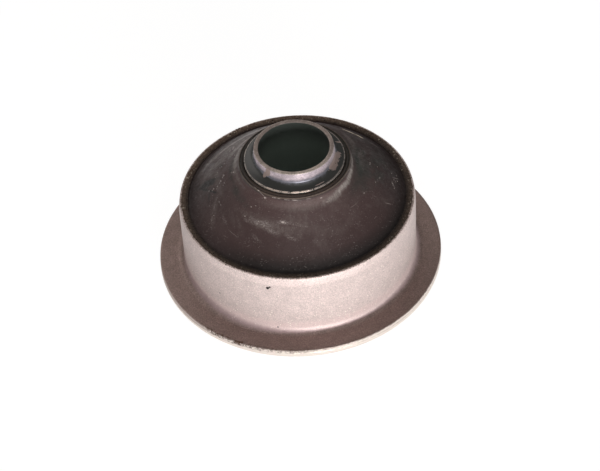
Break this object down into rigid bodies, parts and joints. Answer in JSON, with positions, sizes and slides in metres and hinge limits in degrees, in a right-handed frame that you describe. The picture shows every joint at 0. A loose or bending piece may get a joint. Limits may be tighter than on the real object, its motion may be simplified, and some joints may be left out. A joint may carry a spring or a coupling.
{
  "type": "rubber metal bush",
  "caption": "Bonded suspension bush: flanged drawn steel collar, moulded conical rubber and a turned steel sleeve with a through bore.",
  "frame": {"origin": "centre of the flange's underside, on the axis of the bore", "axes": "+Z along the bore axis, from the flange towards the sleeve's nose; X and Y are free, since the part is a body of revolution"},
  "size_m": [0.0584, 0.0584, 0.03],
  "materials": {
    "collar_steel": "satin phosphated pressing",
    "rubber": "moulded, dull, with a faint bloom",
    "sleeve_steel": "turned, satin, with a dark film on the shoulder"
  },
  "bodies": {
    "root": {"outer_collar": "collar_steel", "rubber_body": "rubber", "inner_sleeve": "sleeve_steel"}
  },
  "joints": []
}
